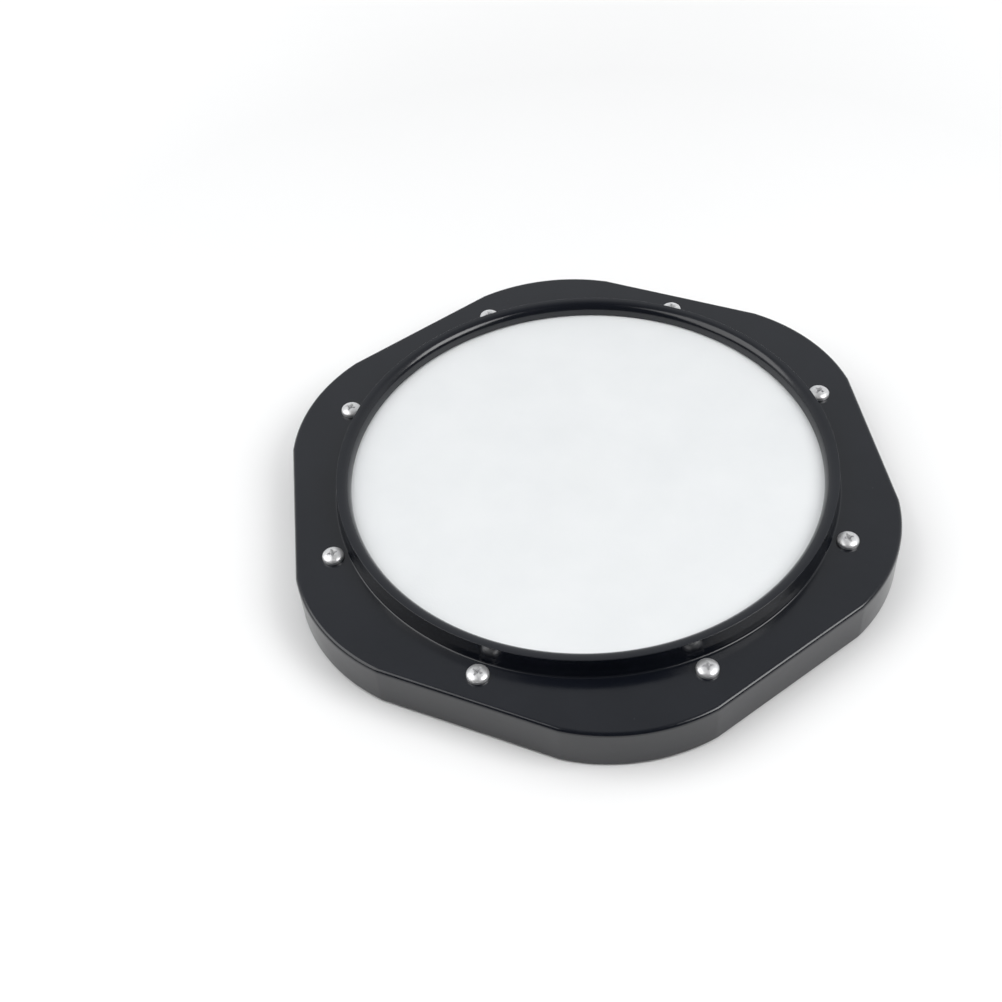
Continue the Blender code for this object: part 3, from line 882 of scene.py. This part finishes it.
def insert_mesh():
    """A knurled brass sleeve with an internal thread, from its top face at height zero."""
    steps = 96
    outer = (INSERT_HIGH.x - INSERT_LOW.x) / 2.0
    length = INSERT_HIGH.z - INSERT_LOW.z
    middle = length / 2.0
    levels = 28
    rings = []
    for level in range(levels + 1):
        down = length * level / levels
        from_middle = abs(down - middle)
        is_knurled = 0.5 * MM < from_middle < middle - 0.6 * MM
        is_groove = from_middle < 0.45 * MM
        ring = []
        for step in range(steps):
            angle = TURN * step / steps
            wave = abs((angle / TURN * KNURL_RIDGES) % 1.0 * 2.0 - 1.0)
            radius = outer - (0.22 * MM * wave if is_knurled else 0.15 * MM)
            ring.append(polar(radius - (0.25 * MM if is_groove else 0.0), angle, -down))
        rings.append(ring)
    bore = threaded_rings(BORE_ROOT, BORE_CREST, -length, 0.0, steps, 5, 0.0)
    return loft("threaded_sleeve", rings + bore, closed=True)


def make_inserts(material):
    mesh = insert_mesh()
    for index, place in enumerate(SCREW_PLACES, start=1):
        name = f"threaded_sleeve_{index}"
        spot = Matrix.Translation((place.x, place.y, INSERT_HIGH.z))
        add_piece(name, mesh, material, "base", f"threaded_insert_{index}", spot)


def foot_places():
    """Centres of the feet, in the order of their nodes."""
    places = []
    for node in FOOT_NODES:
        low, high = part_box(node)
        places.append(((low + high) / 2.0).xy)
    return places


def foot_radius():
    low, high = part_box(FOOT_NODES[0])
    return (high.x - low.x) / 2.0


def foot_top():
    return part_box(FOOT_NODES[0])[1].z


def make_feet(material):
    """Rubber feet with a shallow dimple and a raised tread ring underneath."""
    radius, top = foot_radius(), foot_top()
    profile = rounded([
        (0.0, top, 0.0), (radius, top, 0.3 * MM), (radius, 0.0, 0.6 * MM),
        (5.6 * MM, 0.0, 0.2 * MM), (5.3 * MM, 0.35 * MM, 0.2 * MM), (4.3 * MM, 0.35 * MM, 0.2 * MM),
        (4.0 * MM, 0.0, 0.2 * MM), (2.4 * MM, 0.0, 0.2 * MM), (1.9 * MM, 0.5 * MM, 0.3 * MM),
        (0.0, 0.5 * MM, 0.0),
    ])
    mesh = turned("rubber_foot", supported(profile), 64)
    for node, place in zip(FOOT_NODES, foot_places()):
        name = node.replace("foot", "rubber_foot")
        spot = Matrix.Translation((place.x, place.y, 0.0))
        add_piece(name, mesh, material, "base", node, spot)


# ---------------------------------------------------------------- camera, floor and light


def make_camera():
    """Above the pad's front right, looking down at about 47 degrees."""
    data = bpy.data.cameras.new("camera")
    data.lens = CAMERA_LENS
    data.sensor_width = 36.0
    data.clip_end = 20.0
    camera = bpy.data.objects.new("camera", data)
    bpy.context.scene.collection.objects.link(camera)
    turn = (CAMERA_AIM - CAMERA_PLACE).to_track_quat("-Z", "Y").to_matrix().to_4x4()
    roll = Matrix.Rotation(CAMERA_ROLL, 4, "Z")
    camera.matrix_world = Matrix.Translation(CAMERA_PLACE) @ turn @ roll
    bpy.context.scene.camera = camera


def make_floor():
    """A pale floor that glows more with distance, like a seamless white sweep."""
    finish = Finish("studio_floor", Roughness=0.9, Specular_IOR_Level=0.1)
    length = finish.node("ShaderNodeVectorMath", {0: finish.place}, operation="LENGTH")
    glow = finish.remap(length.outputs["Value"], 0.35, 1.6, 0.0, 0.85)
    finish.tree.links.new(glow, finish.shader.inputs["Emission Strength"])
    finish.shader.inputs["Emission Color"].default_value = (1.0, 1.0, 1.0, 1.0)
    patches = finish.noise(0.4, 2.0)
    finish.colour(finish.ramp(patches, (0.3, (0.93, 0.93, 0.93)), (0.7, (0.95, 0.95, 0.95))))
    mesh = bpy.data.meshes.new("studio_floor")
    work = bmesh.new()
    bmesh.ops.create_grid(work, x_segments=1, y_segments=1, size=6.0)
    work.to_mesh(mesh)
    work.free()
    mesh.materials.append(finish.material)
    floor = bpy.data.objects.new("studio_floor", mesh)
    floor.location.z = -0.05 * MM
    bpy.context.scene.collection.objects.link(floor)


def add_softbox(name, azimuth, elevation, distance, size, power):
    """A square area light that faces the pad."""
    data = bpy.data.lights.new(name, "AREA")
    data.shape = "SQUARE"
    data.size = size
    data.energy = power
    light = bpy.data.objects.new(name, data)
    bpy.context.scene.collection.objects.link(light)
    flat = distance * math.cos(math.radians(elevation))
    place = polar(flat, math.radians(azimuth), distance * math.sin(math.radians(elevation)))
    turn = (-place).to_track_quat("-Z", "Y").to_matrix().to_4x4()
    light.matrix_world = Matrix.Translation(place) @ turn
    return light


def make_studio_world():
    """A studio whose far wall is bright low down and fades upwards, and whose near side is dim."""
    world = bpy.data.worlds.new("studio")
    world.use_nodes = True
    tree = world.node_tree
    place = tree.nodes.new("ShaderNodeTexCoord")
    away = tree.nodes.new("ShaderNodeVectorMath")
    away.operation = "DOT_PRODUCT"
    away.inputs[1].default_value = polar(1.0, FAR_SIDE, 0.0)
    tree.links.new(place.outputs["Generated"], away.inputs[0])
    split = tree.nodes.new("ShaderNodeSeparateXYZ")
    tree.links.new(place.outputs["Generated"], split.inputs["Vector"])
    wall = tree.nodes.new("ShaderNodeValToRGB")
    while len(wall.color_ramp.elements) < len(WALL_LEVELS):
        wall.color_ramp.elements.new(1.0)
    for element, (height, level) in zip(wall.color_ramp.elements, WALL_LEVELS):
        element.position = height
        element.color = (*[level * share for share in WALL_TINT], 1.0)
    tree.links.new(split.outputs["Z"], wall.inputs["Fac"])
    side = tree.nodes.new("ShaderNodeMapRange")
    side.interpolation_type = "SMOOTHSTEP"
    side.inputs["From Min"].default_value = -0.25
    side.inputs["From Max"].default_value = 0.25
    tree.links.new(away.outputs["Value"], side.inputs["Value"])
    room = tree.nodes.new("ShaderNodeMix")
    room.data_type = "RGBA"
    room.inputs[6].default_value = (NEAR_LEVEL, NEAR_LEVEL, NEAR_LEVEL, 1.0)
    tree.links.new(side.outputs["Result"], room.inputs[0])
    tree.links.new(wall.outputs["Color"], room.inputs[7])
    backdrop = tree.nodes.new("ShaderNodeMix")
    backdrop.data_type = "RGBA"
    backdrop.inputs[7].default_value = BACKDROP
    ray = tree.nodes.new("ShaderNodeLightPath")
    tree.links.new(ray.outputs["Is Camera Ray"], backdrop.inputs[0])
    tree.links.new(room.outputs[2], backdrop.inputs[6])
    tree.links.new(backdrop.outputs[2], tree.nodes["Background"].inputs["Color"])
    bpy.context.scene.world = world


def make_light():
    """Softboxes right and left of the camera, an overhead fill, and the studio's walls."""
    add_softbox("softbox_right", 2.0, 45.0, 1.3, 0.72, 8.0)
    add_softbox("softbox_left", 211.0, 45.0, 1.3, 1.15, 7.8)
    fill = add_softbox("overhead_fill", 110.0, 86.0, 2.4, 3.0, 25.0)
    fill.visible_glossy = False
    make_studio_world()
    bpy.context.scene.view_settings.view_transform = "Standard"


make_camera()
make_floor()
make_light()
make_cover(cover_plastic())
make_head(head_film())
make_hoop(hoop_aluminium())
make_foam(foam())
make_tray(tray_plastic())
make_screws(screw_zinc())
make_inserts(insert_brass())
make_feet(foot_rubber())
